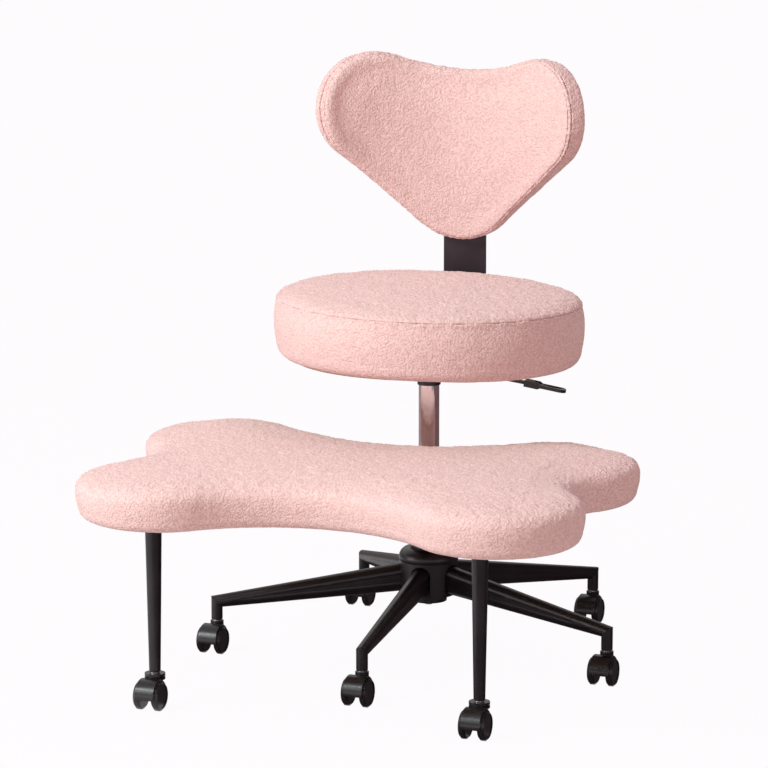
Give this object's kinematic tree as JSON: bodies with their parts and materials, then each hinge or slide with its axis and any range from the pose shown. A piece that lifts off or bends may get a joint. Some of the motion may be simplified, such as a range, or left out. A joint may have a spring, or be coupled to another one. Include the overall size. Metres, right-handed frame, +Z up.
{
  "type": "cross-legged office chair",
  "caption": "Round swivel seat with a heart-shaped backrest on a gas lift and castered star base, and a bow-shaped leg rest that swings round the column on castered legs.",
  "frame": {"origin": "on the floor under the column axis", "axes": "+Z up along the column, -Y forwards, the way the leg rest reaches, +X to the side of the height lever"},
  "size_m": [0.687, 0.7526, 0.8041],
  "materials": {
    "fabric": "curly pile, pink",
    "black_paint": "satin black powder coat",
    "chrome": "polished",
    "steel": "bright zinc",
    "black_plastic": "black moulded",
    "wheel_plastic": "black tread",
    "plywood": "raw plywood"
  },
  "bodies": {
    "base": {"base_hub": "black_paint", "base_arm_1": "black_paint", "base_arm_2": "black_paint", "base_arm_3": "black_paint", "base_arm_4": "black_paint", "base_arm_5": "black_paint", "stand_tube": "black_paint", "guide_bush": "black_plastic", "thrust_bearing": "steel", "base_caster_stems": "steel"},
    "lift_rod": {"piston_rod": "steel", "rod_clip": "steel"},
    "seat": {"seat_cushion": "fabric", "seat_board": "plywood", "seat_plate": "black_paint", "seat_screws": "steel", "gas_cylinder": "chrome", "lever_pivot_pin": "steel", "backrest_bar": "black_paint", "backrest_board": "plywood", "backrest_cushion": "fabric"},
    "lever": {"height_lever": "black_paint", "lever_grip": "black_plastic"},
    "release_pin": {"gas_release_pin": "steel"},
    "footrest": {"footrest_cushion": "fabric", "footrest_board": "plywood", "footrest_bracket": "black_paint", "footrest_bush": "black_plastic", "footrest_screws": "steel", "leg_left": "black_paint", "leg_right": "black_paint", "leg_caster_stems": "steel"},
    "base_caster_1": {"base_caster_1_hood": "black_plastic", "base_caster_1_axle": "steel"},
    "base_caster_1_wheel_left": {"base_caster_1_wheel_left": "wheel_plastic"},
    "base_caster_1_wheel_right": {"base_caster_1_wheel_right": "wheel_plastic"},
    "base_caster_2": {"base_caster_2_hood": "black_plastic", "base_caster_2_axle": "steel"},
    "base_caster_2_wheel_left": {"base_caster_2_wheel_left": "wheel_plastic"},
    "base_caster_2_wheel_right": {"base_caster_2_wheel_right": "wheel_plastic"},
    "base_caster_3": {"base_caster_3_hood": "black_plastic", "base_caster_3_axle": "steel"},
    "base_caster_3_wheel_left": {"base_caster_3_wheel_left": "wheel_plastic"},
    "base_caster_3_wheel_right": {"base_caster_3_wheel_right": "wheel_plastic"},
    "base_caster_4": {"base_caster_4_hood": "black_plastic", "base_caster_4_axle": "steel"},
    "base_caster_4_wheel_left": {"base_caster_4_wheel_left": "wheel_plastic"},
    "base_caster_4_wheel_right": {"base_caster_4_wheel_right": "wheel_plastic"},
    "base_caster_5": {"base_caster_5_hood": "black_plastic", "base_caster_5_axle": "steel"},
    "base_caster_5_wheel_left": {"base_caster_5_wheel_left": "wheel_plastic"},
    "base_caster_5_wheel_right": {"base_caster_5_wheel_right": "wheel_plastic"},
    "leg_caster_left": {"leg_caster_left_hood": "black_plastic", "leg_caster_left_axle": "steel"},
    "leg_caster_left_wheel_left": {"leg_caster_left_wheel_left": "wheel_plastic"},
    "leg_caster_left_wheel_right": {"leg_caster_left_wheel_right": "wheel_plastic"},
    "leg_caster_right": {"leg_caster_right_hood": "black_plastic", "leg_caster_right_axle": "steel"},
    "leg_caster_right_wheel_left": {"leg_caster_right_wheel_left": "wheel_plastic"},
    "leg_caster_right_wheel_right": {"leg_caster_right_wheel_right": "wheel_plastic"}
  },
  "joints": [
    {"name": "seat_swivel", "type": "hinge", "parent": "base", "child": "lift_rod", "pos_m": [0, 0, 0.08], "axis": [0, 0, 1], "continuous": true},
    {"name": "seat_lift", "type": "slide", "parent": "lift_rod", "child": "seat", "axis": [0, 0, 1], "range_m": [-0.04, 0.06]},
    {"name": "lever_lift", "type": "hinge", "parent": "seat", "child": "lever", "pos_m": [0.02779, 0.00341, 0.398], "axis": [0.1219, -0.9925, 0], "range_deg": [0, 6], "stiffness_Nm_per_rad": 0.8},
    {"name": "release_press", "type": "slide", "parent": "seat", "child": "release_pin", "axis": [0, 0, -1], "range_m": [0, 0.0035]},
    {"name": "footrest_swivel", "type": "hinge", "parent": "base", "child": "footrest", "pos_m": [0, 0, 0.22], "axis": [0, 0, 1], "continuous": true},
    {"name": "base_caster_1_swivel", "type": "hinge", "parent": "base", "child": "base_caster_1", "pos_m": [0.01619, -0.28955, 0.038], "axis": [0, 0, 1], "continuous": true},
    {"name": "base_caster_1_wheel_left_roll", "type": "hinge", "parent": "base_caster_1", "child": "base_caster_1_wheel_left", "pos_m": [0.01619, -0.30455, 0.019], "axis": [1, 0, 0], "continuous": true},
    {"name": "base_caster_1_wheel_right_roll", "type": "hinge", "parent": "base_caster_1", "child": "base_caster_1_wheel_right", "pos_m": [0.01619, -0.30455, 0.019], "axis": [1, 0, 0], "continuous": true},
    {"name": "base_caster_2_swivel", "type": "hinge", "parent": "base", "child": "base_caster_2", "pos_m": [0.28038, -0.07408, 0.038], "axis": [0, 0, 1], "continuous": true},
    {"name": "base_caster_2_wheel_left_roll", "type": "hinge", "parent": "base_caster_2", "child": "base_caster_2_wheel_left", "pos_m": [0.28038, -0.08908, 0.019], "axis": [1, 0, 0], "continuous": true},
    {"name": "base_caster_2_wheel_right_roll", "type": "hinge", "parent": "base_caster_2", "child": "base_caster_2_wheel_right", "pos_m": [0.28038, -0.08908, 0.019], "axis": [1, 0, 0], "continuous": true},
    {"name": "base_caster_3_swivel", "type": "hinge", "parent": "base", "child": "base_caster_3", "pos_m": [0.1571, 0.24376, 0.038], "axis": [0, 0, 1], "continuous": true},
    {"name": "base_caster_3_wheel_left_roll", "type": "hinge", "parent": "base_caster_3", "child": "base_caster_3_wheel_left", "pos_m": [0.1571, 0.22876, 0.019], "axis": [1, 0, 0], "continuous": true},
    {"name": "base_caster_3_wheel_right_roll", "type": "hinge", "parent": "base_caster_3", "child": "base_caster_3_wheel_right", "pos_m": [0.1571, 0.22876, 0.019], "axis": [1, 0, 0], "continuous": true},
    {"name": "base_caster_4_swivel", "type": "hinge", "parent": "base", "child": "base_caster_4", "pos_m": [-0.18329, 0.22473, 0.038], "axis": [0, 0, 1], "continuous": true},
    {"name": "base_caster_4_wheel_left_roll", "type": "hinge", "parent": "base_caster_4", "child": "base_caster_4_wheel_left", "pos_m": [-0.18329, 0.20973, 0.019], "axis": [1, 0, 0], "continuous": true},
    {"name": "base_caster_4_wheel_right_roll", "type": "hinge", "parent": "base_caster_4", "child": "base_caster_4_wheel_right", "pos_m": [-0.18329, 0.20973, 0.019], "axis": [1, 0, 0], "continuous": true},
    {"name": "base_caster_5_swivel", "type": "hinge", "parent": "base", "child": "base_caster_5", "pos_m": [-0.27037, -0.10487, 0.038], "axis": [0, 0, 1], "continuous": true},
    {"name": "base_caster_5_wheel_left_roll", "type": "hinge", "parent": "base_caster_5", "child": "base_caster_5_wheel_left", "pos_m": [-0.27037, -0.11987, 0.019], "axis": [1, 0, 0], "continuous": true},
    {"name": "base_caster_5_wheel_right_roll", "type": "hinge", "parent": "base_caster_5", "child": "base_caster_5_wheel_right", "pos_m": [-0.27037, -0.11987, 0.019], "axis": [1, 0, 0], "continuous": true},
    {"name": "leg_caster_left_swivel", "type": "hinge", "parent": "footrest", "child": "leg_caster_left", "pos_m": [-0.22713, -0.40309, 0.038], "axis": [0, 0, 1], "continuous": true},
    {"name": "leg_caster_left_wheel_left_roll", "type": "hinge", "parent": "leg_caster_left", "child": "leg_caster_left_wheel_left", "pos_m": [-0.22713, -0.41809, 0.019], "axis": [1, 0, 0], "continuous": true},
    {"name": "leg_caster_left_wheel_right_roll", "type": "hinge", "parent": "leg_caster_left", "child": "leg_caster_left_wheel_right", "pos_m": [-0.22713, -0.41809, 0.019], "axis": [1, 0, 0], "continuous": true},
    {"name": "leg_caster_right_swivel", "type": "hinge", "parent": "footrest", "child": "leg_caster_right", "pos_m": [0.21205, -0.38392, 0.038], "axis": [0, 0, 1], "continuous": true},
    {"name": "leg_caster_right_wheel_left_roll", "type": "hinge", "parent": "leg_caster_right", "child": "leg_caster_right_wheel_left", "pos_m": [0.21205, -0.39892, 0.019], "axis": [1, 0, 0], "continuous": true},
    {"name": "leg_caster_right_wheel_right_roll", "type": "hinge", "parent": "leg_caster_right", "child": "leg_caster_right_wheel_right", "pos_m": [0.21205, -0.39892, 0.019], "axis": [1, 0, 0], "continuous": true}
  ],
  "couplings": [
    {"joint": "release_press", "follows": "lever_lift", "m_per_rad": 0.0295}
  ]
}
